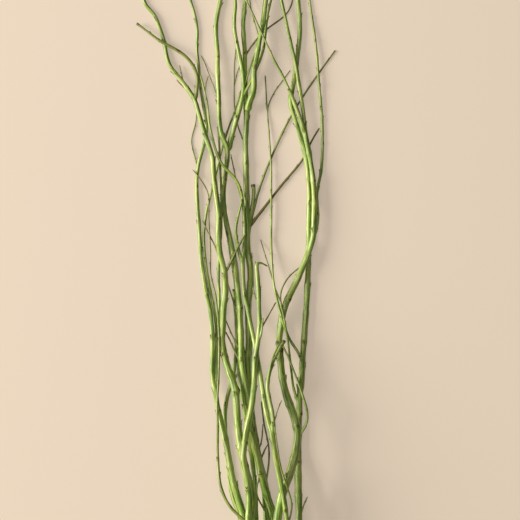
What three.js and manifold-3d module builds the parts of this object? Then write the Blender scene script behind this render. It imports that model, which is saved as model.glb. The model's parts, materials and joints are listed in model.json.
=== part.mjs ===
// A loose bunch of fresh curly willow stems, lying on a flat surface.
// Units are millimetres. X runs across the bunch, Y from the cut butts to the tips, Z up.
// The stems are laid down one over another: each strand's plan is a list of places along it,
// and its height is worked out so that it rests on the ones that lie under it.
import * as THREE from 'three';
import Module from 'manifold-3d';

// Driving dimensions, in mm
const CLEARANCE = 0.5;          // air between two strands that cross
const SAMPLE_STEP = 2.5;         // how finely crossings are looked for
const PLAN_STEP = 2;             // between two points of a strand's smooth plan
const PLAN_TOLERANCE = 0.5;      // how far a straight run may leave the curve
const LONGEST_RUN = 30;          // longest straight run between two sections
const THICK_WOOD = 4.6;          // above this diameter a section has one side more
const THICK_SIDES = 6;
const THIN_SIDES = 5;
const TAPER_CURVE = 1.5;         // above 1, wood keeps its girth at first and thins towards its tip
const STOUTNESS = 0.12;          // how much thick wood is swollen, as a share of its diameter
const THIN_TWIG = 2;             // wood below this diameter isn't swollen
const DROOP = 0.006;             // how soon wood falls away from a support, times 1 / diameter
const LAYING_ROUNDS = 400;       // passes over the pile until nothing moves any more
const SETTLED = 0.005;           // a pass that lifts less than this ends the laying
const CROSSING_GAP = 4;          // samples without contact before another crossing begins
const JUNCTION_SAMPLES = 3;      // a run of contact that begins this close to a shoot's foot is its joint

// Each stem: its bark colour and its strands, the main one first and then its shoots.
// Where a stem forks into equal leaders, its main strand ends there and the leaders are shoots.
// A strand is [diameter at its foot, diameter at its tip, layer at its foot, layer at its tip,
// [x, y, x, y, ...] from foot to tip]. Where two strands cross, the higher layer lies on top.
const STEMS = {
  stem_far_left: { bark: 0x8ea35c, strands: [
    [8.6, 6.4, 5, 5, [21, -489, 14, -449, 5, -410, -7, -371, -18, -338, -30, -303, -38, -272,
      -43, -239, -49, -217, -55, -194]],
    [4.8, 1.3, 5, 5, [-53, -201, -58, -181, -62, -158, -62, -130, -62, -91, -65, -65, -71, -39,
      -75, -13, -78, 13, -80, 52, -82, 78, -83, 104, -79, 129, -72, 152, -69, 172, -72, 192,
      -76, 213, -79, 235, -80, 256, -83, 277, -81, 296, -84, 317, -90, 338, -103, 377,
      -105, 403, -99, 435, -96, 468, -104, 504, -112, 543, -110, 582, -116, 616]],
    [3.8, 2.2, 4.9, 3.5, [-54, -199, -56, -178, -57, -158, -57, -120, -57, -86, -60, -64,
      -66, -39, -70, -13, -73, 13, -74, 29, -72, 51, -68, 72, -62, 92, -57, 114, -51, 140,
      -44, 163, -36, 186, -27, 211, -25, 224]],
    [1.8, 1.2, 6, 6, [-82, 113, -82, 125, -86, 137, -89, 146, -91, 153, -89, 163, -85, 172,
      -83, 182, -83, 194]],
    [1.9, 1.1, 6, 6, [-99, 433, -95, 452, -85, 473, -79, 499, -83, 523]],
    [1.7, 1.1, 4, 4, [-107, 515, -116, 533, -126, 550, -130, 572]],
  ] },
  stem_far_back: { bark: 0x6f7f3c, strands: [
    [6.0, 3.2, 1, 1, [8, -481, 3, -449, -5, -410, -16, -371, -25, -338, -31, -322, -36, -309,
      -40, -281, -43, -250, -46, -218, -45, -190, -39, -166, -33, -143, -30, -104, -31, -78,
      -34, -52, -34, -39]],
    [2.6, 1.3, 1, 1, [-40, -170, -35, -159, -26, -146, -20, -130, -21, -113]],
  ] },
  stem_left: { bark: 0x7f9950, strands: [
    [8.8, 1.6, 6, 6, [-1, -486, -4, -449, -7, -410, -9, -371, -10, -338, -10, -300, -18, -272,
      -24, -246, -28, -218, -30, -192, -32, -168, -41, -144, -47, -121, -48, -95, -48, -68,
      -44, -39, -47, -13, -53, 12, -54, 38, -53, 62, -57, 86, -60, 109, -61, 133, -68, 151,
      -74, 173, -81, 195, -87, 213, -98, 228, -110, 242, -120, 257, -123, 274, -127, 293,
      -133, 308, -138, 322, -148, 330, -153, 339, -153, 350, -157, 371, -167, 397, -171, 423,
      -165, 455, -166, 488, -176, 517, -179, 546]],
    [3.9, 2.8, 7.5, 7.5, [-80, 192, -83, 203, -84, 212, -81, 230, -81, 237, -87, 254, -98, 267,
      -113, 276, -129, 284, -143, 294, -153, 303, -161, 308]],
    [2.0, 1.3, 6, 6, [-84, 207, -90, 214, -96, 221, -101, 226, -109, 235]],
    [1.5, 1.1, 6, 6, [-98, 227, -101, 232, -102, 239, -104, 247, -105, 254]],
    [3.9, 2.2, 6.5, 4, [-46, -134, -49, -122, -53, -99, -54, -86, -53, -57, -54, -31, -54, -5,
      -51, 23, -50, 55, -50, 86, -52, 126, -53, 155, -55, 182]],
    [2.8, 2.0, 3, 9, [-45, -21, -42, -12, -33, 7, -28, 17, -23, 26, -18, 34]],
    [1.9, 1.2, 6.5, 6, [-55, 8, -62, 23, -69, 38, -75, 51]],
    [1.7, 1.1, 6, 6, [-168, 398, -174, 416, -186, 429, -192, 447]],
  ] },
  stem_front: { bark: 0x9fae5a, strands: [
    [8.3, 4.4, 10, 10, [-14, -484, -17, -449, -18, -410, -16, -371, -14, -338, -13, -306,
      -17, -277, -22, -254, -18, -230, -14, -204, -9, -181, -7, -156, -6, -130, -4, -105,
      0, -82, 0, -59, -2, -35, -4, -12, -6, -2]],
    [1.8, 1.1, 8, 8, [-1, -100, 2, -91, 5, -83, 11, -73, 16, -64, 21, -55]],
    [2.2, 1.4, 8, 8, [0, -69, -2, -61, -5, -52, -9, -36]],
    [1.9, 1.4, 9, 9, [-6, -5, -3, -1, 3, -4, 10, -9]],
    [3.4, 2.0, 10, 10, [-6, -127, -3, -116, 0, -107, 2, -96, 4, -75]],
  ] },
  stem_whip: { bark: 0x75683c, strands: [
    [3.9, 1.1, 5.8, 7, [47, -476, 39, -445, 26, -410, 9, -377, -7, -348, -18, -336, -27, -328,
      -36, -320, -43, -310, -48, -299, -52, -285, -54, -255, -55, -230, -54, -218, -56, -194,
      -54, -166, -53, -133, -53, -98, -55, -66, -58, -43, -64, -25, -65, -14, -64, -4,
      -65, 26, -67, 56, -66, 83, -69, 92, -74, 99, -82, 112, -88, 117]],
  ] },
  stem_mid_left: { bark: 0x7c8f45, strands: [
    [5.8, 2.1, 3, 3, [16, -476, 10, -447, 4, -410, -2, -372, -5, -338, -6, -299, -10, -261,
      -15, -226, -20, -194, -25, -167, -28, -139, -26, -108, -27, -79, -30, -49, -35, -16,
      -40, 16, -48, 62]],
  ] },
  stem_middle: { bark: 0x7b8f42, strands: [
    [8.3, 1.5, 4, 3.5, [40, -478, 39, -438, 34, -397, 27, -365, 20, -338, 9, -308, 2, -280,
      -5, -250, -11, -221, -14, -192, -20, -161, -23, -131, -24, -100, -25, -70, -29, -42,
      -31, -13, -36, 13, -42, 39, -47, 65, -48, 91, -44, 117, -41, 142, -35, 168, -26, 196,
      -22, 225, -23, 250, -27, 269, -32, 290, -34, 312, -31, 333, -35, 358, -33, 384,
      -27, 416, -27, 455, -36, 494, -40, 533, -34, 569, -35, 601]],
    [5.5, 1.5, 7, 6, [-41, 138, -43, 147, -47, 155, -51, 165, -53, 190, -53, 216, -55, 242,
      -55, 268, -57, 294, -58, 304, -55, 325, -48, 356, -45, 382, -50, 416, -57, 449,
      -54, 488, -44, 527, -42, 566, -50, 605, -53, 641, -48, 673]],
    [1.5, 1.1, 8, 8, [-54, 200, -58, 220, -65, 237, -70, 253, -72, 259, -77, 267]],
    [3.6, 1.3, 4, 6, [-21, 208, -19, 216, -11, 233, -3, 253, 5, 273, 7, 294, 9, 315, 14, 338,
      20, 358, 29, 390, 36, 424, 42, 458, 38, 491, 31, 520]],
    [2.6, 1.6, 5, 3, [-22, 217, -15, 243, -11, 257, -3, 278]],
    [2.1, 1.4, 5, 5, [-24, -85, -32, -62, -36, -51, -42, -31]],
    [2.0, 1.4, 5, 5, [-24, -117, -33, -106, -37, -98, -45, -78]],
    [2.3, 1.5, 3, 4, [-23, -140, -30, -127, -37, -109, -45, -94]],
    [1.9, 1.2, 7, 7, [-53, 490, -60, 510, -72, 528, -77, 554, -74, 577]],
    [1.8, 1.1, 6, 6, [-44, 533, -36, 550, -25, 567, -21, 590]],
  ] },
  stem_trunk: { bark: 0x6e8637, strands: [
    [9.1, 1.7, 2, 4, [4, -489, 5, -449, 8, -410, 10, -371, 10, -338, 8, -308, 3, -282, -4, -255,
      -8, -229, -11, -202, -14, -173, -16, -144, -14, -116, -14, -87, -16, -61, -12, -36,
      -12, -13, -16, 10, -18, 36, -17, 75, -18, 114, -18, 166, -17, 191, -19, 215, -20, 241,
      -20, 267, -21, 293, -21, 316, -19, 339, -17, 364, -11, 397, -11, 436, -17, 475,
      -20, 514, -15, 553, -8, 592, -8, 631, -14, 670, -12, 707]],
    [6.0, 1.6, 5, 5, [-17, 190, -14, 204, -7, 220, -7, 228, -8, 243, -5, 262, 0, 282, 4, 303,
      6, 326, 12, 361, 21, 397, 25, 436, 20, 475, 15, 514, 18, 553, 27, 592, 29, 628, 24, 660]],
    [2.8, 1.4, 6, 6, [-21, 300, -26, 314, -26, 320, -21, 332, -18, 339, -15, 351, -16, 374,
      -21, 397]],
    [2.0, 1.4, 3, 2.5, [-19, 267, -11, 278, -2, 291, 9, 302, 23, 311, 35, 321, 40, 328, 43, 337,
      45, 350, 47, 372, 55, 398]],
    [1.9, 1.2, 6.5, 6.5, [2, 287, -5, 302, -11, 322, -14, 345, -11, 367, -5, 387]],
    [4.3, 3.9, 3, 4, [-16, 29, -12, 48, -9, 69, -7, 88, -9, 98]],
    [2.9, 2.0, 3, 3, [-16, 30, -10, 53, -5, 78, 3, 104, 14, 131, 26, 159, 39, 185, 53, 208,
      71, 235, 90, 262, 99, 274]],
    [3.2, 2.0, 2.5, 2.5, [-17, 31, -8, 50, 7, 69, 22, 89, 38, 109, 47, 119, 55, 128, 65, 150,
      75, 168, 78, 172]],
    [1.8, 1.2, 3, 2, [-18, 147, -25, 165, -31, 181, -34, 208, -33, 234, -34, 246, -32, 272,
      -31, 280]],
    [1.4, 1.1, 2, 2, [-33, 234, -28, 251, -25, 257]],
    [2.3, 1.7, 3, 5, [9, -312, 10, -300, 9, -289, 12, -269, 12, -244, 7, -224, 3, -199, 2, -186]],
    [1.8, 1.2, 3, 4, [-3, -256, 3, -238, 4, -217]],
    [2.1, 1.6, 3, 5, [1, -270, 5, -250, 12, -241]],
    [2.2, 1.5, 3, 5, [10, -333, 1, -317, -4, -309, -5, -302, -3, -291, -1, -283]],
    [1.9, 1.2, 5, 5, [-11, 442, -4, 463, 3, 484, 0, 507]],
    [1.8, 1.1, 5, 5, [-15, 556, -23, 577, -31, 598, -30, 621]],
    [1.9, 1.2, 6, 6, [19, 481, 8, 502, 0, 528, 3, 556]],
    [1.6, 1.1, 6, 6, [28, 598, 36, 614, 44, 634]],
  ] },
  stem_mid_right: { bark: 0x82964a, strands: [
    [6.2, 2.0, 9, 6, [31, -484, 35, -449, 39, -410, 38, -371, 34, -338, 31, -308, 26, -280,
      20, -251, 14, -222, 8, -194, 3, -165, -1, -139, -5, -116, -10, -92, -15, -69, -20, -46,
      -22, -22, -21, 4, -20, 30, -21, 69, -24, 90, -32, 106, -44, 117, -53, 129, -59, 147,
      -64, 167, -67, 185, -67, 195, -71, 217, -76, 235, -78, 242]],
    [1.9, 1.2, 6, 3, [-22, 73, -28, 90, -32, 108, -36, 128, -38, 138]],
    [1.3, 1.0, 7, 7, [-73, 226, -69, 235, -67, 240]],
    [4.7, 3.4, 8, 8, [19, -242, 18, -220, 16, -196, 11, -175, 9, -165, 10, -155, 16, -134,
      24, -116, 32, -105]],
    [1.5, 1.1, 8, 8, [17, -208, 23, -190, 28, -180]],
    [2.3, 1.7, 8.5, 8.5, [12, -148, 12, -138, 20, -118, 24, -110]],
    [2.2, 1.4, 10, 10, [35, -343, 41, -320, 41, -308, 34, -287, 27, -267, 24, -248, 19, -216]],
    [3.9, 2.4, 6.5, 7, [-22, -14, -28, 12, -32, 36, -31, 46, -26, 64, -24, 73]],
  ] },
  stem_right_back: { bark: 0x758a40, strands: [
    [8.8, 4.4, 5, 6.5, [29, -491, 35, -449, 44, -410, 49, -371, 50, -338, 50, -286, 50, -234,
      52, -190, 55, -148, 58, -104, 61, -62, 63, -21, 64, 13, 64, 44, 65, 78, 64, 108, 60, 135,
      53, 161, 45, 187, 40, 200, 34, 219]],
    [5.5, 1.5, 7, 6, [41, 196, 40, 206, 43, 224, 47, 244, 49, 265, 52, 285, 53, 306, 51, 328,
      49, 361, 53, 397, 62, 436, 65, 475, 61, 514, 57, 553, 62, 588, 66, 614]],
    [3.1, 1.6, 8.5, 5, [55, -131, 52, -123, 41, -109, 32, -88, 26, -66, 20, -43, 17, -20,
      15, 10, 15, 47, 15, 83, 15, 120, 13, 150, 11, 178, 9, 203, 8, 225, 7, 241]],
    [1.6, 1.1, 5, 5, [10, 196, 11, 202, 18, 218, 30, 234, 40, 248]],
    [1.7, 1.1, 7, 7, [18, -30, 13, -14, 7, 5, 1, 26]],
    [3.0, 1.4, 7, 9.5, [50, -194, 44, -171, 41, -145, 38, -118, 35, -94, 30, -69, 26, -47,
      28, -39, 36, -24, 51, -11]],
    [1.8, 1.2, 9, 9, [27, -51, 22, -40, 19, -35]],
    [2.2, 1.6, 6, 6, [51, -352, 55, -327, 56, -318, 62, -308]],
    [1.8, 1.1, 6, 6, [63, 448, 73, 468, 81, 491, 79, 515]],
    [1.7, 1.1, 5, 5, [58, 549, 49, 567, 43, 588]],
  ] },
  stem_right_front: { bark: 0x8a9e4e, strands: [
    [9.6, 4.2, 7.5, 7.5, [21, -497, 17, -449, 16, -410, 18, -371, 22, -338, 26, -308, 35, -283,
      44, -257, 48, -229, 45, -204, 36, -182, 30, -160, 27, -137, 26, -113, 27, -87, 32, -62,
      43, -39, 54, -16, 63, 8, 69, 31, 71, 60, 71, 91, 67, 121, 62, 148, 56, 174, 47, 199,
      39, 221]],
    [2.5, 1.3, 8.5, 8, [42, 214, 32, 236, 21, 254, 11, 276, 0, 298, -9, 320, -17, 334, -21, 346,
      -23, 364, -20, 387, -21, 410]],
    [3.7, 1.4, 8, 8, [62, 5, 67, 13, 74, 35, 76, 61, 74, 83, 75, 92, 80, 111, 82, 140, 82, 172,
      80, 203, 77, 234, 75, 265, 71, 299, 66, 332, 62, 367, 65, 397, 72, 432, 74, 468, 70, 504,
      72, 536]],
    [4.4, 1.5, 9, 7, [68, 112, 66, 135, 61, 159, 58, 185, 54, 211, 50, 237, 46, 260, 40, 283,
      35, 307, 30, 329, 24, 359, 20, 390, 23, 429, 33, 468, 38, 507, 34, 546, 27, 582, 29, 616]],
    [2.9, 2.0, 8, 8, [48, -230, 51, -224, 60, -213, 62, -205, 59, -186, 53, -169, 46, -149,
      38, -129, 30, -112]],
    [3.6, 3.0, 8, 8, [26, -116, 23, -109, 20, -101]],
    [1.6, 1.1, 8, 8, [73, 437, 79, 452, 82, 473]],
    [1.8, 1.2, 7, 7, [38, 504, 46, 524, 48, 546, 44, 566]],
    [1.7, 1.1, 7, 7, [22, 426, 14, 445, 9, 465]],
  ] },
};

// ---- Plan: places along a strand, and the sections chosen on its curve ----

function planCurve(path) {
  const places = [];
  for (let i = 0; i < path.length; i += 2) {
    places.push(new THREE.Vector3(path[i], path[i + 1], 0));
  }
  const curve = new THREE.CatmullRomCurve3(places, false, 'centripetal');
  return curve.getSpacedPoints(Math.ceil(curve.getLength() / PLAN_STEP));
}

function strayFromRun(points, first, last) {
  const run = new THREE.Line3(points[first], points[last]);
  const nearest = new THREE.Vector3();
  let stray = 0;
  for (let i = first + 1; i < last; i += 1) {
    run.closestPointToPoint(points[i], true, nearest);
    stray = Math.max(stray, nearest.distanceTo(points[i]));
  }
  return stray;
}

function chooseSections(points) {
  const chosen = [points[0].clone()];
  let first = 0;
  while (first < points.length - 1) {
    let last = first + 1;
    while (last + 1 < points.length
      && strayFromRun(points, first, last + 1) < PLAN_TOLERANCE
      && points[first].distanceTo(points[last + 1]) < LONGEST_RUN) {
      last += 1;
    }
    chosen.push(points[last].clone());
    first = last;
  }
  return chosen;
}

// A shoot's foot is the nearest place on an earlier strand of the same stem.
function findFoot(place, elders) {
  let nearest = Infinity;
  let foot = null;
  for (const elder of elders) {
    for (const sample of elder.samples) {
      const distance = Math.hypot(sample.x - place.x, sample.y - place.y);
      if (distance < nearest) {
        nearest = distance;
        foot = { elder, sample };
      }
    }
  }
  return foot;
}

function makeStrand(stemName, row, elders) {
  const [footDiameter, tipDiameter, footLayer, tipLayer, path] = row;
  const axis = chooseSections(planCurve(path));
  const foot = findFoot(axis[0], elders);
  if (foot) {
    axis[0].set(foot.sample.x, foot.sample.y, 0);
  }
  const along = [0];
  for (let i = 1; i < axis.length; i += 1) {
    along.push(along[i - 1] + axis[i].distanceTo(axis[i - 1]));
  }
  const length = along[along.length - 1];
  const radius = along.map((s) => {
    const thinned = (s / length) ** TAPER_CURVE;
    const girth = THREE.MathUtils.lerp(footDiameter, tipDiameter, thinned);
    const stoutness = 1 + STOUTNESS * THREE.MathUtils.smoothstep(girth, THIN_TWIG, THICK_WOOD);
    return (girth * stoutness) / 2;
  });
  const droop = DROOP / footDiameter;
  const strand = { stemName, axis, along, length, radius, droop, footLayer, tipLayer, foot };
  strand.samples = sampleStrand(strand);
  return strand;
}

function sampleStrand(strand) {
  const samples = [];
  for (let run = 0; run < strand.axis.length - 1; run += 1) {
    const runLength = strand.along[run + 1] - strand.along[run];
    const count = Math.ceil(runLength / SAMPLE_STEP);
    for (let i = 0; i < count; i += 1) {
      const t = i / count;
      const s = strand.along[run] + t * runLength;
      samples.push({
        run,
        t,
        x: THREE.MathUtils.lerp(strand.axis[run].x, strand.axis[run + 1].x, t),
        y: THREE.MathUtils.lerp(strand.axis[run].y, strand.axis[run + 1].y, t),
        radius: THREE.MathUtils.lerp(strand.radius[run], strand.radius[run + 1], t),
        layer: THREE.MathUtils.lerp(strand.footLayer, strand.tipLayer, s / strand.length),
      });
    }
  }
  return samples;
}

function heightAt(strand, sample) {
  return THREE.MathUtils.lerp(strand.axis[sample.run].z, strand.axis[sample.run + 1].z, sample.t);
}

// ---- Laying the strands down ----

function contactsBetween(a, b) {
  const contacts = [];
  a.samples.forEach((p, i) => {
    b.samples.forEach((q, j) => {
      const reach = p.radius + q.radius + CLEARANCE;
      const dx = p.x - q.x;
      const dy = p.y - q.y;
      if (Math.abs(dy) < reach && Math.abs(dx) < reach && dx * dx + dy * dy < reach * reach) {
        contacts.push({ i, j, p, q, rise: Math.sqrt(reach * reach - dx * dx - dy * dy) });
      }
    });
  });
  return contacts;
}

// Contacts that follow one another along strand a are one crossing, and one strand is on top there.
function splitIntoCrossings(contacts) {
  const crossings = [];
  let lastPlace = -Infinity;
  for (const contact of contacts) {
    if (contact.i > lastPlace + CROSSING_GAP) {
      crossings.push([]);
    }
    crossings[crossings.length - 1].push(contact);
    lastPlace = contact.i;
  }
  return crossings;
}

function isJunction(crossing, a, b) {
  if (a.stemName !== b.stemName) {
    return false;
  }
  const nearFootOfA = crossing.some((c) => c.i < JUNCTION_SAMPLES);
  const nearFootOfB = crossing.some((c) => c.j < JUNCTION_SAMPLES);
  return nearFootOfA || nearFootOfB;
}

// A crossing right at a shoot's foot goes the same way as its elder's crossing there.
function layerIn(crossing, strand, pick, place) {
  const atFoot = strand.foot && crossing.some((c) => c[place] < JUNCTION_SAMPLES);
  if (atFoot) {
    return strand.foot.sample.layer;
  }
  return crossing.reduce((sum, c) => sum + c[pick].layer, 0) / crossing.length;
}

function findCrossings(strands) {
  const supports = new Map(strands.map((strand) => [strand, []]));
  for (let m = 0; m < strands.length; m += 1) {
    for (let n = m + 1; n < strands.length; n += 1) {
      const [a, b] = [strands[m], strands[n]];
      for (const crossing of splitIntoCrossings(contactsBetween(a, b))) {
        if (isJunction(crossing, a, b)) {
          continue;
        }
        const lead = layerIn(crossing, a, 'p', 'i') - layerIn(crossing, b, 'q', 'j');
        for (const c of crossing) {
          if (lead > 0) {
            supports.get(a).push({ place: c.p, under: b, underPlace: c.q, rise: c.rise });
          } else {
            supports.get(b).push({ place: c.q, under: a, underPlace: c.p, rise: c.rise });
          }
        }
      }
    }
  }
  return supports;
}

function restOnSupports(strand, supports) {
  const need = strand.radius.slice();
  for (const { place, under, underPlace, rise } of supports) {
    const height = heightAt(under, underPlace) + rise;
    need[place.run] = Math.max(need[place.run], height);
    need[place.run + 1] = Math.max(need[place.run + 1], height);
  }
  if (strand.foot) {
    need[0] = heightAt(strand.foot.elder, strand.foot.sample);
  }
  const heights = strand.along.map((s) => {
    const fromEach = need.map((height, i) => height - strand.droop * (s - strand.along[i]) ** 2);
    return Math.max(...fromEach);
  });
  if (strand.foot) {
    heights[0] = need[0];
  }
  let lift = 0;
  strand.axis.forEach((place, i) => {
    lift = Math.max(lift, heights[i] - place.z);
    place.z = strand.foot && i === 0 ? heights[i] : Math.max(place.z, heights[i]);
  });
  return lift;
}

function layDown(strands) {
  for (const strand of strands) {
    strand.axis.forEach((place, i) => {
      place.z = strand.radius[i];
    });
  }
  const supports = findCrossings(strands);
  for (let round = 0; round < LAYING_ROUNDS; round += 1) {
    let lift = 0;
    for (const strand of strands) {
      lift = Math.max(lift, restOnSupports(strand, supports.get(strand)));
    }
    if (lift < SETTLED) {
      return;
    }
  }
}

// ---- Solids ----

// One closed tube: a flat-sided section at each place of the axis, and two flat cut ends.
function tubeSolid(wasm, strand) {
  const { axis, radius } = strand;
  const sides = radius[0] * 2 > THICK_WOOD ? THICK_SIDES : THIN_SIDES;
  const vertices = [];
  const triangles = [];
  let side = new THREE.Vector3(1, 0, 0);
  axis.forEach((place, i) => {
    const before = axis[Math.max(i - 1, 0)];
    const after = axis[Math.min(i + 1, axis.length - 1)];
    const ahead = after.clone().sub(before).normalize();
    side = side.addScaledVector(ahead, -side.dot(ahead)).normalize();
    const up = new THREE.Vector3().crossVectors(ahead, side);
    for (let k = 0; k < sides; k += 1) {
      const turn = (k / sides) * 2 * Math.PI;
      const corner = place.clone();
      corner.addScaledVector(side, radius[i] * Math.cos(turn));
      corner.addScaledVector(up, radius[i] * Math.sin(turn));
      vertices.push(...corner.toArray());
    }
  });
  for (let i = 0; i < axis.length - 1; i += 1) {
    for (let k = 0; k < sides; k += 1) {
      const a = i * sides + k;
      const b = i * sides + ((k + 1) % sides);
      triangles.push(a, b, b + sides, a, b + sides, a + sides);
    }
  }
  const tip = (axis.length - 1) * sides;
  for (let k = 1; k < sides - 1; k += 1) {
    triangles.push(0, k + 1, k, tip, tip + k, tip + k + 1);
  }
  return new wasm.Manifold(new wasm.Mesh({
    numProp: 3,
    vertProperties: new Float32Array(vertices),
    triVerts: new Uint32Array(triangles),
  }));
}

function stemGeometry(wasm, strands) {
  let solid = tubeSolid(wasm, strands[0]);
  for (const shoot of strands.slice(1)) {
    solid = solid.add(tubeSolid(wasm, shoot));
  }
  const mesh = solid.getMesh();
  const geometry = new THREE.BufferGeometry();
  geometry.setAttribute('position', new THREE.BufferAttribute(mesh.vertProperties, 3));
  geometry.setIndex(new THREE.BufferAttribute(mesh.triVerts, 1));
  geometry.computeVertexNormals();
  return geometry;
}

function willowBark(colour) {
  return new THREE.MeshStandardMaterial({ color: colour, roughness: 0.55, metalness: 0 });
}

// ---- The bunch ----

const wasm = await Module();
wasm.setup();

const strandsOfStem = {};
for (const [stemName, stem] of Object.entries(STEMS)) {
  strandsOfStem[stemName] = [];
  for (const row of stem.strands) {
    strandsOfStem[stemName].push(makeStrand(stemName, row, strandsOfStem[stemName]));
  }
}
layDown(Object.values(strandsOfStem).flat());

const bunch = new THREE.Group();
for (const [stemName, stem] of Object.entries(STEMS)) {
  const geometry = stemGeometry(wasm, strandsOfStem[stemName]);
  const mesh = new THREE.Mesh(geometry, willowBark(stem.bark));
  mesh.name = stemName;
  bunch.add(mesh);
}

// The origin is the middle of the bunch's footprint, on the surface that it lies on.
const box = new THREE.Box3().setFromObject(bunch);
const middle = box.getCenter(new THREE.Vector3());
bunch.position.set(-middle.x, -middle.y, -box.min.z);

export default bunch;
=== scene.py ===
"""A loose bunch of fresh curly willow stems, lying on a pale floor and seen from straight above.

Each packed stem is a flat-sided frame. Its wood is read back from that frame as a tree of axes with
their radii, and grown again round, with nodes, collars, buds and bark.
"""
import heapq
import json
import math

import bpy
import numpy as np
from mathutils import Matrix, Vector

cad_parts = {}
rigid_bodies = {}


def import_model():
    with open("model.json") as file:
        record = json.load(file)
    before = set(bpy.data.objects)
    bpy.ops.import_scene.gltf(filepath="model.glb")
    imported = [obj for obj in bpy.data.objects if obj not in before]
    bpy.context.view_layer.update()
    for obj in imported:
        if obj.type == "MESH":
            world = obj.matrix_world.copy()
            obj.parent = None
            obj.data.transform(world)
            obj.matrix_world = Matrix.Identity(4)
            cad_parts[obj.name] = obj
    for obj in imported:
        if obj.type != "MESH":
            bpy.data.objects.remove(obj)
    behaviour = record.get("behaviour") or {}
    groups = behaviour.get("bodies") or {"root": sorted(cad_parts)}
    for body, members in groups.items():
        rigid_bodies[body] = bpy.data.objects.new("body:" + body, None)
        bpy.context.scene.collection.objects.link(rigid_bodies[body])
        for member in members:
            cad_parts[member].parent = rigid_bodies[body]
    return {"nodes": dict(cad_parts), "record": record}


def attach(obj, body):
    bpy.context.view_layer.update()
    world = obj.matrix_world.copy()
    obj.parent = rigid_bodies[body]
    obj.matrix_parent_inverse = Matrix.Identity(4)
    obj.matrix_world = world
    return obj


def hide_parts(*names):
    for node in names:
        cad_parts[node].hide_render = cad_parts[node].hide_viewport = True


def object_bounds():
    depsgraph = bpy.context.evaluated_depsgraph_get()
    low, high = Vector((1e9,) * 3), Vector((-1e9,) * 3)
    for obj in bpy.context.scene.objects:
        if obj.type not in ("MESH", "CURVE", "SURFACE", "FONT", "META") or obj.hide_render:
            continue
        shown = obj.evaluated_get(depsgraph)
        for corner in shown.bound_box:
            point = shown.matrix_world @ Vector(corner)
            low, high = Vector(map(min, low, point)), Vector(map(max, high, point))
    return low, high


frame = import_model()
cad_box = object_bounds()

MM = 0.001

# Reading the frame
SLICE = 4.0 * MM             # between two slices of a stem
MERGE = 0.01 * MM            # the frame's loose triangles join within this
SHORTEST_SHOOT = 2           # slices; anything shorter is a corner of a slice, not a shoot
LONG_STRAND = 12             # slices; the taper of longer strands may be a bent one
TAPER_ROUNDS = 4             # fits of the taper, each without the slices that stray from the last one
LEAST_SLICES = 3
STRAY = 1.12                 # a slice this much wider than the fit is left out of the next one
THINNEST_WOOD = 0.35 * MM
FACET_FILL = 1.08            # a flat-sided section's mean radius, back to its round one
AXIS_SMOOTHING = 1.6         # slices over which an axis is rounded
GIRTH_SMOOTHING = 1.0        # slices over which the radii are rounded
SWOLLEN = 1.22               # a slice this much wider than the taper still holds a shoot
TIP_SLICES = 1.6             # slices past the last one in which a strand's tip may lie
TIP_ASIDE = 1.4              # radii that the tip may lie off the strand's line
TIP_SPREAD = 0.3             # and how much more that is for each mm ahead
FOOT_STEPS = 2               # slices down into its parent from which a shoot starts
MOST_FOOT_STEPS = 14         # and at most, where the parent is swollen

# Wood
RING_STEP = 2.2 * MM         # between two rings of the finished tube
THICK_RADIUS = 1.6 * MM
THICK_SIDES = 18
THIN_SIDES = 10
GIRTH_WANDER = 0.025         # of the radius
GIRTH_WAVE = 14 * MM
OVALNESS = 0.03              # of the radius
OVAL_WAVE = 40 * MM          # the length over which the oval turns
OVAL_TURN = 0.6              # and how far, in radians
RIDGE_LENGTH = 22.0 * MM     # the bark's low lengthwise ridges
RIDGE_HEIGHT = 0.035         # of the radius
COLLAR_LENGTH = 6.0 * MM     # a shoot's foot widens over this
COLLAR_FLARE = 0.30
FOOT_GIRTH = 0.45            # a shoot starts this thin, hidden inside its parent
FOOT_GROWTH = 0.55           # and gains the rest over FOOT_LENGTH
FOOT_LENGTH = 2.5 * RING_STEP
TIP_GIRTH = 0.55             # a growing tip ends this thin
TIP_GROWTH = 0.45            # and gains the rest over two radii
EASED_RINGS = 2              # rings of vertices round a graft's crease that are smoothed with it
EASING_ROUNDS = 3
EASING = 0.4                 # how far a vertex moves to its neighbours' middle in each round

# Nodes and buds
NODE_SPACING = 34.0 * MM     # between two buds along thick wood
THIN_SPACING = 0.45          # of that on the thinnest wood
SPACING_GROWTH = 0.55        # and what thicker wood adds
SPACING_GIRTHS = (0.8 * MM, 3.5 * MM)
FIRST_BUD = (0.5, 0.9)       # spacings above the foot
NEXT_BUD = (0.65, 1.35)      # spacings above the bud before
BUD_TURN = 2 * math.pi * 2 / 5
BUD_TURN_STRAY = 0.3
BARE_TIP = 3 * MM            # no bud sits this close to the tip
NODE_SWELL = 0.10
NODE_LENGTH = 3.5 * MM
CUSHION_SWELL = 0.16         # of the radius, under each bud
CUSHION_LENGTH = 2.2 * MM
CUSHION_WIDTH = 0.7          # radians round the stem
BUD_SIZES = {"Bud Length": 4.2, "Bud Width": 1.7, "Bud Depth": 1.3}     # mm, on thick wood
BUD_FOOT = 1.15              # a bud's girth at its foot and at its tip, against an even egg
BUD_TIP = 0.35
BUD_AHEAD = 0.42             # how far a bud is moved ahead of its seat, in bud lengths
BUD_SEAT = 1.12              # radii from the stem's axis
BUD_OPENING = 0.4            # how far a bud leans out of the stem's own direction
THIN_BUD = 0.55              # a bud's size on the thinnest wood
BUD_GROWTH = 0.45            # and what thicker wood adds
BUD_GIRTHS = (0.8 * MM, 2.5 * MM)
BUD_STRAY = (0.75, 1.15)
BUD_CLEARANCE = 0.6 * MM     # a bud any nearer to the floor than this is left out

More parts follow.
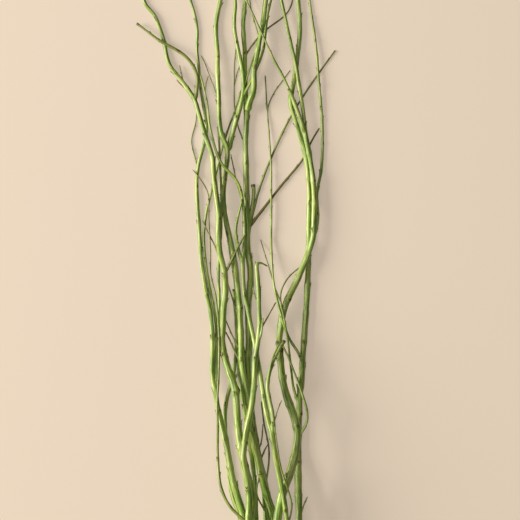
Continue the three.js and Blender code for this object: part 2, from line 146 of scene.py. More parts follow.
# Cut and broken ends
STUB_RADIUS = 1.3 * MM       # wood that ends thicker than this was cut or broken, and has healed dark
STUB_SWELL = 0.22
STUB_SWELL_PLACE = 2 * MM    # below the end
STUB_SWELL_LENGTH = 2.5 * MM
HEALED_LENGTH = 4 * MM
HEALED_LUMP = 2.5 * MM
HEALED_HEIGHT = 0.12         # of the radius
HEALED_SCAR = 1.1
CAP_RINGS = ((0.82, 0.10), (0.35, 0.12))   # each ring of an end: its radius and its bulge, in radii
CAP_BULGE = 0.12
# Knots where a side shoot was lost: share of the bunch's length above the butts, and turn round
# the stem from its right side
KNOTS = {
    "stem_left": [(0.272, -0.1), (0.311, 2.4)],
    "stem_right_front": [(0.314, 1.1), (0.322, 2.3), (0.319, 0.2)],
    "stem_middle": [(0.418, 1.4)],
}
KNOT_LENGTH = 3.4 * MM
KNOT_WIDTH = 0.8             # radians round the stem
KNOT_SWELL = 0.55            # of the radius
KNOT_SCAR = 1.2

# Brown bark
LEANING = (0.25, 0.55)       # mm aside for each mm along, over which a shoot turns browner
LEANING_BROWN = 0.5
LEAST_RUN = 1e-6             # m; keeps a shoot that runs straight across from dividing by nothing
THIN_WOOD = (0.7 * MM, 1.4 * MM)
THIN_BROWN = 0.55
WHIP_BROWN = 0.4
DRY_SHOOTS = {"stem_trunk": (6,)}      # side shoots whose bark has dried brown from the foot up
DRY_BROWN = 0.5
DRY_REACH = (110 * MM, 190 * MM)       # the dry bark turns green again between these two

# Colours
GREEN_BARK = "#70981E"
YELLOW_BARK = "#98AE42"
# Pale streaks: partly the bark's own pale lines, partly a painted highlight, a sheen painted into the colour
PALE_STREAK_AND_PAINTED_SHEEN = "#BACB80"
DARK_STREAK = "#45690F"
BROWN_TWIG = "#7C7A34"
DARK_TWIG = "#55521F"
FLECK = "#5B6424"
LEAF_SCAR = "#4A3B1C"
SAPWOOD = "#E3D6A4"
SAPWOOD_DARK = "#CDBB80"
PITH = "#A98F58"
BUD_DARK = "#3E2C14"
BUD_LIGHT = "#6B5226"
FLOOR_PAPER = "#B3AAA0"
FLOOR_GLOW = "#E4D2BC"

# Patterns
BARK_RELIEF = 0.3            # mm, height of the fine streaks
PORE_PATCH = 1.1             # mm, the size of the cut wood's lighter and darker spots
PITH_RADIUS = 0.5            # mm
PITH_EDGE = 0.8              # mm, where the pith has given way to wood
BUD_SPOT = 1.4               # mm
# Each pattern in the bark: how wide and how long its spots are, in mm, and its detail.
# Real bands of colour are about 1 mm wide, and are drawn wider here so that they show from far.
BARK_PATTERNS = {
    "patches": (30.0, 70.0, 2.0),
    "bands": (1.7, 34.0, 3.0),
    "streaks": (0.7, 14.0, 4.0),
    "flecks": (0.9, 2.2, 2.0),
}
# Each tint in the bark, over the ones before it: its pattern, the range of the pattern over which it
# comes in, its share at both ends of that range, and its colour.
GREEN_TINTS = [
    ("patches", 0.40, 0.62, 0.0, 1.0, YELLOW_BARK),
    # The pale tints here are partly the bark's own streaks and partly a painted highlight, a sheen painted
    # into the colour
    ("bands", 0.50, 0.63, 0.0, 0.85, PALE_STREAK_AND_PAINTED_SHEEN),
    ("bands", 0.36, 0.49, 0.95, 0.0, DARK_STREAK),
    ("streaks", 0.45, 0.70, 0.0, 0.45, PALE_STREAK_AND_PAINTED_SHEEN),
]
# These lie over green and brown bark alike.
DARK_MARKS = [
    ("flecks", 0.66, 0.78, 0.0, 0.6, FLECK),
    ("scar", 0.25, 0.9, 0.0, 0.85, LEAF_SCAR),
]

# Floor and lights: metres, the lights counted from the middle of the view
FLOOR_REACH = 12.0
FLOOR_DROP = 0.1 * MM
FLOOR_GLOW_STRENGTH = 0.49   # the paper is lit brighter than the stems on it
KEY_PLACE = (-5.4, 0.6, 2.2)
KEY_SIZE = 3.0
KEY_WATTS = 620
KEY_COLOUR = "#FFF4E4"
TOP_PLACE = (-0.6, 0.3, 3.0)
TOP_SIZE = 2.2
TOP_WATTS = 15
TOP_COLOUR = "#FFF6EA"
ROOM_COLOUR = "#FFF1DE"
ROOM_STRENGTH = 0.16

# View: the part of the bunch that is looked at, as shares of its box
VIEW_MIDDLE = (0.6595, 0.4124)
VIEW_HEIGHT = 0.4
VIEW_WIDTH = 0.5586
FOCAL_LENGTH = 100.0
SENSOR_WIDTH = 36.0


def seeded(*words):
    """A random generator that is the same on every run."""
    return np.random.default_rng(sum(ord(c) * (i + 7) for i, c in enumerate("/".join(map(str, words)))))


# ---- Reading a stem's axes from the frame ----

def merged_mesh(obj):
    """The node's vertices and triangles, with its loose triangles joined."""
    mesh = obj.data
    places = np.zeros(len(mesh.vertices) * 3)
    mesh.vertices.foreach_get("co", places)
    places = places.reshape(-1, 3)
    mesh.calc_loop_triangles()
    triangles = np.zeros(len(mesh.loop_triangles) * 3, int)
    mesh.loop_triangles.foreach_get("vertices", triangles)
    keys = np.round(places / MERGE).astype(np.int64)
    _, first, inverse = np.unique(keys, axis=0, return_index=True, return_inverse=True)
    triangles = inverse.reshape(-1)[triangles].reshape(-1, 3)
    whole = (triangles[:, 0] != triangles[:, 1]) & (triangles[:, 1] != triangles[:, 2])
    whole &= triangles[:, 0] != triangles[:, 2]
    return places[first], triangles[whole]


def distances_from_butt(places, triangles):
    """How far each vertex is from the cut butt, along the surface."""
    neighbours = [[] for _ in places]
    for corner in range(3):
        for a, b in zip(triangles[:, corner], triangles[:, (corner + 1) % 3]):
            length = float(np.linalg.norm(places[a] - places[b]))
            neighbours[a].append((b, length))
            neighbours[b].append((a, length))
    butt = float(places[:, 1].min())
    far = np.full(len(places), np.inf)
    queue = []
    for start in np.flatnonzero(places[:, 1] < butt + SLICE):
        far[start] = abs(places[start, 1] - butt)
        heapq.heappush(queue, (far[start], int(start)))
    while queue:
        reached, here = heapq.heappop(queue)
        if reached > far[here]:
            continue
        for there, length in neighbours[here]:
            if reached + length < far[there]:
                far[there] = reached + length
                heapq.heappush(queue, (far[there], int(there)))
    return far


def slice_loops(places, triangles, far, level):
    """The separate loops in which the surface crosses one distance from the butt."""
    owner = {}
    points = {}

    def find(key):
        while owner[key] != key:
            owner[key] = owner[owner[key]]
            key = owner[key]
        return key

    low = far[triangles].min(axis=1)
    high = far[triangles].max(axis=1)
    for triangle in triangles[(low < level) & (high >= level)]:
        cut = []
        for corner in range(3):
            a, b = int(triangle[corner]), int(triangle[(corner + 1) % 3])
            if (far[a] < level) == (far[b] < level):
                continue
            key = (min(a, b), max(a, b))
            if key not in owner:
                owner[key] = key
                share = (level - far[key[0]]) / (far[key[1]] - far[key[0]])
                points[key] = places[key[0]] * (1 - share) + places[key[1]] * share
            cut.append(key)
        if len(cut) == 2:
            owner[find(cut[0])] = find(cut[1])
    loops = {}
    for key in owner:
        loops.setdefault(find(key), []).append(key)
    return [(np.array([points[key] for key in loop]), loop[0]) for loop in loops.values()]


def edge_triangles(triangles):
    """Each edge with the triangles on its two sides."""
    sides = {}
    for number, triangle in enumerate(triangles):
        for corner in range(3):
            a, b = int(triangle[corner]), int(triangle[(corner + 1) % 3])
            sides.setdefault((min(a, b), max(a, b)), []).append(number)
    return sides


def band_pieces(triangles, sides, far, low, high):
    """A lookup from a triangle to the connected piece of surface it is in, between two distances."""
    owner = {}

    def find(number):
        while owner.setdefault(number, number) != number:
            owner[number] = owner[owner[number]]
            number = owner[number]
        return number

    nearest = far[triangles].min(axis=1)
    furthest = far[triangles].max(axis=1)
    for number in np.flatnonzero((nearest < high) & (furthest >= low)):
        triangle = triangles[number]
        for corner in range(3):
            a, b = int(triangle[corner]), int(triangle[(corner + 1) % 3])
            if max(far[a], far[b]) >= low and min(far[a], far[b]) < high:
                for other in sides[(min(a, b), max(a, b))]:
                    owner[find(int(number))] = find(other)
    return find


def slice_tree(places, triangles):
    """Every slice: its middle, its mean radius, and its parent, the slice one step nearer the butt."""
    far = distances_from_butt(places, triangles)
    sides = edge_triangles(triangles)
    slices = []
    before = []
    for level in np.arange(SLICE, far[np.isfinite(far)].max(), SLICE):
        find = band_pieces(triangles, sides, far, level - SLICE, level)
        here = []
        for loop, edge in slice_loops(places, triangles, far, level):
            box_middle = (loop.min(axis=0) + loop.max(axis=0)) / 2
            middle = 0.5 * box_middle + 0.5 * loop.mean(axis=0)
            reach = float(np.linalg.norm(loop - middle, axis=1).mean())
            piece = find(sides[edge][0])
            linked = [i for i, other in before if find(sides[other][0]) == piece]
            linked.sort(key=lambda i: np.linalg.norm(slices[i]["middle"] - middle))
            parent = linked[0] if linked else None
            for i in linked[1:]:
                slices[i]["rejoined"] = True
            here.append((len(slices), edge))
            slices.append({"middle": middle, "reach": reach, "parent": parent, "children": [],
                           "rejoined": False})
            if parent is not None:
                slices[parent]["children"].append(here[-1][0])
        before = here
    return slices


def heights_above(slices):
    """How many slices follow each one, along its longest line."""
    above = [0] * len(slices)
    for i in range(len(slices) - 1, -1, -1):
        for child in slices[i]["children"]:
            above[i] = max(above[i], above[child] + 1)
    return above


def read_chains(slices):
    """Splits the tree into lines: the main stem first, then each shoot with its parent slice."""
    above = heights_above(slices)
    roots = [i for i, s in enumerate(slices) if s["parent"] is None]
    root = max(roots, key=lambda i: above[i])
    chains = []
    waiting = [(root, None)]
    while waiting:
        start, foot = waiting.pop(0)
        chain = [start]
        while slices[chain[-1]]["children"]:
            children = sorted(slices[chain[-1]]["children"], key=lambda i: -above[i])
            for side in children[1:]:
                if above[side] >= SHORTEST_SHOOT:
                    waiting.append((side, chain[-1]))
            chain.append(children[0])
        if not slices[chain[-1]]["rejoined"]:
            chains.append((chain, foot))
    return chains


def fitted_taper(reach, bend):
    """A curve through the slices' radii that leaves out the ones swollen by a shoot beside them."""
    at = np.arange(len(reach))
    kept = np.ones(len(reach), bool)
    curve = np.array([0.0, np.median(reach)])
    for _ in range(TAPER_ROUNDS):
        if kept.sum() < LEAST_SLICES:
            break
        curve = np.polyfit(at[kept], reach[kept], bend)
        kept = reach < np.polyval(curve, at) * STRAY
    return np.polyval(curve, at)


def even_taper(reach):
    """The girth that a strand should have: a straight taper or a bent one, whichever is the stouter."""
    taper = fitted_taper(reach, 1)
    if len(reach) > LONG_STRAND:
        taper = np.maximum(taper, fitted_taper(reach, 2))
    return np.maximum(taper, THINNEST_WOOD)


def rounded(points, amount):
    """Points of a line, averaged with their neighbours, with both ends kept."""
    reach = int(amount * 3)
    weights = np.exp(-0.5 * (np.arange(-reach, reach + 1) / amount) ** 2)
    weights /= weights.sum()
    ahead = 2 * points[-1] - points[-2:-reach - 2:-1]
    behind = 2 * points[0] - points[reach:0:-1]
    if len(ahead) < reach or len(behind) < reach:
        return points
    padded = np.vstack([behind, points, ahead])
    return np.array([np.convolve(line, weights, "valid") for line in padded.T]).T


def resampled(points, radii, step):
    """The same line with its rings a fixed step apart, on a smooth curve through its points."""
    along = np.concatenate([[0], np.cumsum(np.linalg.norm(np.diff(points, axis=0), axis=1))])
    count = max(4, int(round(along[-1] / step)) + 1)
    wanted = np.linspace(0, along[-1], count)
    slopes = np.gradient(points, along, axis=0)
    place = np.clip(np.searchsorted(along, wanted, "right") - 1, 0, len(along) - 2)
    width = (along[place + 1] - along[place])[:, None]
    t = ((wanted - along[place])[:, None]) / width
    line = (2 * t**3 - 3 * t**2 + 1) * points[place] + (t**3 - 2 * t**2 + t) * width * slopes[place]
    line += (-2 * t**3 + 3 * t**2) * points[place + 1] + (t**3 - t**2) * width * slopes[place + 1]
    return line, np.interp(wanted, along, radii), wanted


def tip_reach(places, point, ahead, girth):
    """How far the frame goes on past a point, in the direction ahead."""
    along = (places - point) @ ahead
    aside = np.linalg.norm(places - point - along[:, None] * ahead, axis=1)
    beyond = along[(along > 0) & (along < TIP_SLICES * SLICE)
                   & (aside < TIP_ASIDE * girth + TIP_SPREAD * along)]
    return float(beyond.max()) if len(beyond) else 0.5 * SLICE


def read_axes(node):
    """A stem's axes: [{points, radii, along, is_shoot}], the main stem first."""
    places, triangles = merged_mesh(frame["nodes"][node])
    slices = slice_tree(places, triangles)
    axes = []
    middles = {}
    swollen = {}
    for chain, foot in read_chains(slices):
        points = np.array([slices[i]["middle"] for i in chain])
        reach = np.array([slices[i]["reach"] for i in chain])
        taper = even_taper(reach)
        at = np.arange(len(chain))
        clean = np.union1d(np.flatnonzero(reach < taper * SWOLLEN), [0, len(chain) - 1])
        points = np.array([np.interp(at, clean, points[clean, k]) for k in range(3)]).T
        for i, place, wide in zip(chain, points, reach > taper * SWOLLEN):
            middles[i] = place
            swollen[i] = wide
        radii = rounded(np.minimum(reach, taper * SWOLLEN)[:, None], GIRTH_SMOOTHING)[:, 0]
        ahead = (points[-1] - points[-2]) / np.linalg.norm(points[-1] - points[-2])
        last = points[-1] + ahead * tip_reach(places, points[-1], ahead, radii[-1])
        if foot is None:
            first = points[0] - (points[1] - points[0]) / np.linalg.norm(points[1] - points[0]) * SLICE
        else:
            start = foot
            steps = 0
            while (slices[start]["parent"] is not None and (swollen.get(start) or steps < FOOT_STEPS)
                   and steps < MOST_FOOT_STEPS):
                start = slices[start]["parent"]
                steps += 1
            first = middles.get(start, slices[start]["middle"])
        points = rounded(np.vstack([first, points, last]), AXIS_SMOOTHING)
        radii = np.concatenate([[radii[0]], radii, [radii[-1]]])
        line, radii, along = resampled(points, radii * FACET_FILL, RING_STEP)
        axes.append({"points": line, "radii": radii, "along": along, "is_shoot": foot is not None})
    return axes


# ---- Growing the wood ----

def smooth_step(low, high, value):
    """0 up to low, 1 from high on, and an even curve between them."""
    t = np.clip((value - low) / (high - low), 0, 1)
    return t * t * (3 - 2 * t)


def carried_frames(points):
    """Tangent and two crosswise directions at each ring, turned as little as possible along the line."""
    tangents = np.gradient(points, axis=0)
    tangents /= np.linalg.norm(tangents, axis=1)[:, None]
    side = np.cross(tangents[0], [0.0, 0.0, 1.0])
    sides = []
    for tangent in tangents:
        side = side - tangent * side.dot(tangent)
        side /= np.linalg.norm(side)
        sides.append(side)
    sides = np.array(sides)
    return tangents, sides, np.cross(sides, tangents)


def bud_places(axis, dice):
    """Where the buds sit: distance along the axis and angle round it, two turns in every five buds."""
    girth = float(axis["radii"].mean())
    spacing = NODE_SPACING * (THIN_SPACING + SPACING_GROWTH * smooth_step(*SPACING_GIRTHS, girth))
    at = spacing * dice.uniform(*FIRST_BUD)
    angle = dice.uniform(0, 2 * math.pi)
    places = []
    while at < axis["along"][-1] - BARE_TIP:
        places.append((at, angle))
        at += spacing * dice.uniform(*NEXT_BUD)
        angle += BUD_TURN + dice.uniform(-BUD_TURN_STRAY, BUD_TURN_STRAY)
    return places


def wavy(length, wave, dice):
    """Smooth random wander of about one, with the given wavelength."""
    knots = dice.normal(0, 1, int(length[-1] / wave) + 4)
    at = length / wave
    low = at.astype(int)
    t = at - low
    t = t * t * (3 - 2 * t)
    return knots[low] * (1 - t) + knots[low + 1] * t


def brownness(node, axis):
    """0 on green wood, 1 on the olive-brown thin wood and on shoots that lean out of the bunch."""
    run = axis["points"][-1] - axis["points"][0]
    lean = abs(run[0]) / (abs(run[1]) + LEAST_RUN)
    brown = LEANING_BROWN * smooth_step(*LEANING, lean) * axis["is_shoot"]
    brown = brown + THIN_BROWN * smooth_step(-THIN_WOOD[1], -THIN_WOOD[0], -axis["radii"])
    if slot_of[node] == "brown_bark":
        brown = brown + WHIP_BROWN
    if axis["is_dry"]:
        brown = brown + DRY_BROWN * (1 - smooth_step(*DRY_REACH, axis["along"]))
    return np.clip(brown, 0, 1)


def swell(radii, along, buds, is_shoot, dice):
    """Gives the radii a slight wander, nodes, a healed or growing tip, and a shoot's collar."""
    radii *= 1 + GIRTH_WANDER * wavy(along, GIRTH_WAVE, dice)
    for at, _ in buds:
        radii *= 1 + NODE_SWELL * np.exp(-(((along - at) / NODE_LENGTH) ** 2))
    tip_gap = along[-1] - along
    is_stub = radii[-1] > STUB_RADIUS
    if is_stub:
        radii *= 1 + STUB_SWELL * np.exp(-((tip_gap - STUB_SWELL_PLACE) / STUB_SWELL_LENGTH) ** 2)
    else:
        radii *= TIP_GIRTH + TIP_GROWTH * smooth_step(0, 2 * radii[-1], tip_gap)
    if is_shoot:
        radii *= 1 + COLLAR_FLARE * np.exp(-np.maximum(along - 2 * radii[0], 0) / COLLAR_LENGTH)
        radii *= FOOT_GIRTH + FOOT_GROWTH * smooth_step(0, FOOT_LENGTH, along)
    return is_stub


def mound(along, at, length, turns, angle, width):
    """1 at one place on the bark, falling away over a length along it and a width round it."""
    around = (turns[None, :] - angle + math.pi) % (2 * math.pi) - math.pi
    return np.exp(-(((along[:, None] - at) / length) ** 2) - (around / width) ** 2)


def bark_relief(node, axis, buds, turns, is_stub, dice):
    """At each ring and side, how far the bark lies from the axis in radii, and how scarred it is."""
    along = axis["along"]
    ridges = np.stack([wavy(along, RIDGE_LENGTH, dice) for _ in turns], axis=1)
    beside = 0.25 * np.roll(ridges, 1, axis=1)
    ridges = RIDGE_HEIGHT * (0.5 * ridges + beside + 0.25 * np.roll(ridges, -1, axis=1))
    lean = OVAL_TURN * wavy(along, OVAL_WAVE, dice)
    oval = ridges + OVALNESS * np.cos(2 * turns[None, :] + lean[:, None])
    scar = np.zeros(oval.shape)
    bulge = np.zeros(oval.shape)
    for at, angle in buds:
        cushion = mound(along, at, CUSHION_LENGTH, turns, angle, CUSHION_WIDTH)
        scar = np.maximum(scar, cushion)
        bulge += CUSHION_SWELL * cushion
    if not axis["is_shoot"]:
        low, high = cad_box[0][1], cad_box[1][1]
        for share, angle in KNOTS.get(node, ()):
            place = low + share * (high - low)
            knot = mound(axis["points"][:, 1], place, KNOT_LENGTH, turns, angle, KNOT_WIDTH)
            bulge += KNOT_SWELL * knot
            scar = np.maximum(scar, KNOT_SCAR * knot)
    if is_stub:
        healed = np.exp(-((along[-1] - along) / HEALED_LENGTH) ** 2)[:, None]
        lumps = np.stack([wavy(along, HEALED_LUMP, dice) for _ in turns], axis=1)
        bulge += HEALED_HEIGHT * healed * lumps
        scar = np.maximum(scar, HEALED_SCAR * healed)
    return 1 + oval + bulge, scar


def close_end(tube, sides_count, first, centre, inward, girth, end_scar):
    """Closes an end of the tube with a slightly domed cap. Its outermost ring starts at vertex first."""
    def add_face(corners):
        tube["faces"].append(corners if first == 0 else corners[::-1])

    outer = [first + k for k in range(sides_count)]
    for share, push in CAP_RINGS:
        inner = []
        for k in range(sides_count):
            place = centre + (tube["places"][first + k] - centre) * share
            inner.append(len(tube["places"]))
            tube["places"].append(place - inward * girth * push)
            tube["grain"].append(np.array(tube["grain"][first + k]) * [share, share, 1])
        for k in range(sides_count):
            add_face((outer[k], outer[(k + 1) % sides_count], inner[(k + 1) % sides_count], inner[k]))
        outer = inner
    middle = len(tube["places"])
    tube["places"].append(centre - inward * girth * CAP_BULGE)
    tube["grain"].append(np.array([0, 0, tube["grain"][first][2]]))
    for k in range(sides_count):
        add_face((outer[k], outer[(k + 1) % sides_count], middle))
    added = len(tube["places"]) - len(tube["scar"])
    tube["scar"] += [end_scar] * added
    tube["brown"] += [tube["brown"][first]] * added


def grow_tube(name, node, axis, buds, dice):
    """One closed round tube of wood with its nodes, collar and ends, and its bark attributes."""
    points, radii, along = axis["points"], axis["radii"].copy(), axis["along"]
    tangents, sides, ups = carried_frames(points)
    sides_count = THICK_SIDES if radii[0] > THICK_RADIUS else THIN_SIDES
    turns = np.arange(sides_count) / sides_count * 2 * math.pi
    is_stub = swell(radii, along, buds, axis["is_shoot"], dice)
    relief, scar = bark_relief(node, axis, buds, turns, is_stub, dice)
    reach = radii[:, None] * relief
    ring = np.cos(turns)[None, :, None] * sides[:, None, :] + np.sin(turns)[None, :, None] * ups[:, None, :]
    body = points[:, None, :] + reach[:, :, None] * ring
    grain = np.stack([reach * np.cos(turns), reach * np.sin(turns),
                      np.broadcast_to(along[:, None], reach.shape)], axis=2)
    tube = {"places": list(body.reshape(-1, 3)), "grain": list(grain.reshape(-1, 3)),
            "scar": list(scar.reshape(-1)), "brown": list(np.repeat(brownness(node, axis), sides_count)),
            "faces": []}
    last = (len(along) - 1) * sides_count
    for start in range(0, last, sides_count):
        for k in range(sides_count):
            a, b = start + k, start + (k + 1) % sides_count
            tube["faces"].append((a, a + sides_count, b + sides_count, b))
    bark_faces = len(tube["faces"])
    close_end(tube, sides_count, 0, points[0], tangents[0], radii[0], 0.0)
    foot_faces = len(tube["faces"])
    close_end(tube, sides_count, last, points[-1], -tangents[-1], radii[-1], 1.0 if is_stub else 0.0)
    mesh = bpy.data.meshes.new(name)
    mesh.from_pydata([tuple(place) for place in tube["places"]], [], tube["faces"])
    mesh.materials.append(willow_bark)
    mesh.materials.append(cut_wood)
    is_cut = np.zeros(len(tube["faces"]), int)
    if not axis["is_shoot"]:
        is_cut[bark_faces:foot_faces] = 1
    mesh.polygons.foreach_set("material_index", is_cut)
    mesh.polygons.foreach_set("use_smooth", is_cut == 0)
    add_attribute(mesh, "grain", "FLOAT_VECTOR", np.array(tube["grain"]))
    add_attribute(mesh, "scar", "FLOAT", np.array(tube["scar"]))
    add_attribute(mesh, "brown", "FLOAT", np.array(tube["brown"]))
    add_attribute(mesh, "grown", "FLOAT", np.ones(len(tube["places"])))
    wood = bpy.data.objects.new(name, mesh)
    bpy.context.scene.collection.objects.link(wood)
    return wood


def add_attribute(mesh, name, kind, values):
    """A number or a vector for each vertex, which the bark's nodes read."""
    layer = mesh.attributes.new(name, kind, "POINT")
    layer.data.foreach_set("vector" if kind == "FLOAT_VECTOR" else "value", values.astype(np.float32).ravel())


def read_attribute(mesh, name, kind):
    values = np.zeros(len(mesh.vertices) * (3 if kind == "FLOAT_VECTOR" else 1), np.float32)
    mesh.attributes[name].data.foreach_get("vector" if kind == "FLOAT_VECTOR" else "value", values)
    return values.reshape(-1, 3) if kind == "FLOAT_VECTOR" else values


def join_wood(trunk, shoot):
    """Grafts a shoot onto the stem as one closed solid."""
    union = trunk.modifiers.new("graft", "BOOLEAN")
    union.operation = "UNION"
    union.solver = "MANIFOLD"
    union.object = shoot
    grafted = bpy.data.meshes.new_from_object(trunk.evaluated_get(bpy.context.evaluated_depsgraph_get()))
    trunk.modifiers.remove(union)
    old = trunk.data
    trunk.data = grafted
    bpy.data.meshes.remove(old)
    bpy.data.objects.remove(shoot)


def heal_grafts(mesh):
    """Vertices made where two tubes meet take their bark from their neighbours, and the crease is eased."""
    grown = read_attribute(mesh, "grown", "FLOAT")
    edges = np.zeros(len(mesh.edges) * 2, int)
    mesh.edges.foreach_get("vertices", edges)
    edges = np.vstack([edges.reshape(-1, 2), edges.reshape(-1, 2)[:, ::-1]])
    seam = grown < 0.5
    for name, kind in (("grain", "FLOAT_VECTOR"), ("scar", "FLOAT"), ("brown", "FLOAT")):
        values = read_attribute(mesh, name, kind).copy()
        taken = edges[seam[edges[:, 0]] & ~seam[edges[:, 1]]]
        values[taken[:, 0]] = values[taken[:, 1]]
        layer = mesh.attributes[name]
        layer.data.foreach_set("vector" if kind == "FLOAT_VECTOR" else "value", values.ravel())
    near = seam.copy()
    for _ in range(EASED_RINGS):
        near[edges[near[edges[:, 1]], 0]] = True
    places = np.zeros(len(mesh.vertices) * 3, np.float32)
    mesh.vertices.foreach_get("co", places)
    places = places.reshape(-1, 3)
    for _ in range(EASING_ROUNDS):
        total = np.zeros_like(places)
        count = np.zeros(len(places))
        np.add.at(total, edges[:, 0], places[edges[:, 1]])
        np.add.at(count, edges[:, 0], 1)
        places[near] += EASING * (total[near] / count[near, None] - places[near])
    mesh.vertices.foreach_set("co", places.ravel())
    mesh.update()


# ---- Materials ----

def linear(hex_colour):
    """An sRGB hex colour as linear RGBA."""
    channels = [int(hex_colour[i:i + 2], 16) / 255 for i in (1, 3, 5)]
    return tuple(c / 12.92 if c <= 0.04045 else ((c + 0.055) / 1.055) ** 2.4 for c in channels) + (1.0,)


def add_node(tree, kind, inputs=(), **settings):
    """Adds a node with its settings. Each of its inputs, by name or number, takes a link or a value."""
    node = tree.nodes.new(kind)
    for name, value in settings.items():
        setattr(node, name, value)
    for name, value in dict(inputs).items():
        if isinstance(value, bpy.types.NodeSocket):
            tree.links.new(value, node.inputs[name])
        else:
            node.inputs[name].default_value = value
    return node


def new_material(name):
    material = bpy.data.materials.new(name)
    material.use_nodes = True
    tree = material.node_tree
    return material, tree, tree.nodes["Principled BSDF"]


def grain_scale(across_mm, along_mm):
    """The scale at which a noise's spots are across_mm wide and along_mm long on the bark."""
    return 1 / (across_mm * MM), 1 / (across_mm * MM), 1 / (along_mm * MM)


def make_willow_bark():
    """Fresh willow bark: thin, smooth and waxy, yellow-green where it is young and olive-brown where it
    is thin and sunned. The eye sees fine lengthwise streaks, pale and yellow patches, and dark leaf scars.
    The pale streaks are partly the bark's own lines and partly a painted highlight: sheen painted into the
    colour."""
    material, tree, shader = new_material("willow_bark")
    grain = add_node(tree, "ShaderNodeAttribute", attribute_name="grain").outputs["Vector"]
    scar = add_node(tree, "ShaderNodeAttribute", attribute_name="scar").outputs["Fac"]
    brown = add_node(tree, "ShaderNodeAttribute", attribute_name="brown").outputs["Fac"]
    pattern = {"scar": scar}
    for name, (across_mm, along_mm, detail) in BARK_PATTERNS.items():
        place = add_node(tree, "ShaderNodeMapping",
                         {"Vector": grain, "Scale": grain_scale(across_mm, along_mm)}).outputs[0]
        pattern[name] = add_node(tree, "ShaderNodeTexNoise",
                                 {"Vector": place, "Scale": 1.0, "Detail": detail}).outputs["Fac"]

    def tinted(colour, tints):
        for name, low, high, share_low, share_high, tint in tints:
            share = add_node(tree, "ShaderNodeMapRange",
                             {"Value": pattern[name], "From Min": low, "From Max": high,
                              "To Min": share_low, "To Max": share_high},
                             interpolation_type="SMOOTHSTEP").outputs["Result"]
            colour = add_node(tree, "ShaderNodeMix", {0: share, 6: colour, 7: linear(tint)},
                              data_type="RGBA").outputs[2]
        return colour

    green = tinted(linear(GREEN_BARK), GREEN_TINTS)
    dry = add_node(tree, "ShaderNodeMix",
                   {0: pattern["streaks"], 6: linear(DARK_TWIG), 7: linear(BROWN_TWIG)},
                   data_type="RGBA").outputs[2]
    bark = add_node(tree, "ShaderNodeMix", {0: brown, 6: green, 7: dry}, data_type="RGBA").outputs[2]
    tree.links.new(tinted(bark, DARK_MARKS), shader.inputs["Base Color"])
    height = add_node(tree, "ShaderNodeMath", {0: pattern["streaks"], 1: pattern["flecks"]},
                      operation="ADD").outputs[0]
    bump = add_node(tree, "ShaderNodeBump", {"Height": height, "Strength": 0.5, "Distance": BARK_RELIEF * MM})
    tree.links.new(bump.outputs["Normal"], shader.inputs["Normal"])
    shader.inputs["Roughness"].default_value = 0.38
    shader.inputs["IOR"].default_value = 1.5
    shader.inputs["Coat Weight"].default_value = 0.25
    shader.inputs["Coat Roughness"].default_value = 0.32
    return material


def make_cut_wood():
    """Fresh cut willow: dull pale cream sapwood, slightly uneven, round a small tan pith."""
    material, tree, shader = new_material("cut_willow_wood")
    grain = add_node(tree, "ShaderNodeAttribute", attribute_name="grain").outputs["Vector"]
    flat = add_node(tree, "ShaderNodeVectorMath", {0: grain, 1: (1, 1, 0)}, operation="MULTIPLY").outputs[0]
    out = add_node(tree, "ShaderNodeVectorMath", {0: flat}, operation="LENGTH").outputs["Value"]
    pores = add_node(tree, "ShaderNodeTexNoise", {"Vector": grain, "Scale": 1 / (PORE_PATCH * MM),
                                                  "Detail": 3.0}).outputs["Fac"]
    wood = add_node(tree, "ShaderNodeMix", {0: pores, 6: linear(SAPWOOD), 7: linear(SAPWOOD_DARK)},
                    data_type="RGBA").outputs[2]
    core = add_node(tree, "ShaderNodeMapRange",
                    {"Value": out, "From Min": PITH_RADIUS * MM, "From Max": PITH_EDGE * MM, "To Min": 1.0,
                     "To Max": 0.0}, interpolation_type="SMOOTHSTEP").outputs["Result"]
    wood = add_node(tree, "ShaderNodeMix", {0: core, 6: wood, 7: linear(PITH)}, data_type="RGBA").outputs[2]
    tree.links.new(wood, shader.inputs["Base Color"])
    shader.inputs["Roughness"].default_value = 0.75
    return material


def make_bud_scale():
    """A willow bud's single waxy cap: dark brown, with paler brown spots and a soft shine."""
    material, tree, shader = new_material("willow_bud_scale")
    place = add_node(tree, "ShaderNodeTexCoord").outputs["Object"]
    spots = add_node(tree, "ShaderNodeTexNoise", {"Vector": place, "Scale": 1 / (BUD_SPOT * MM),
                                                  "Detail": 2.0}).outputs["Fac"]
    colour = add_node(tree, "ShaderNodeMix", {0: spots, 6: linear(BUD_DARK), 7: linear(BUD_LIGHT)},
                      data_type="RGBA").outputs[2]
    tree.links.new(colour, shader.inputs["Base Color"])
    shader.inputs["Roughness"].default_value = 0.42
    return material


willow_bark = make_willow_bark()
cut_wood = make_cut_wood()
bud_scale = make_bud_scale()
slot_of = {part["node"]: part["material_slot"] for part in frame["record"]["subparts"]}


# ---- Buds ----

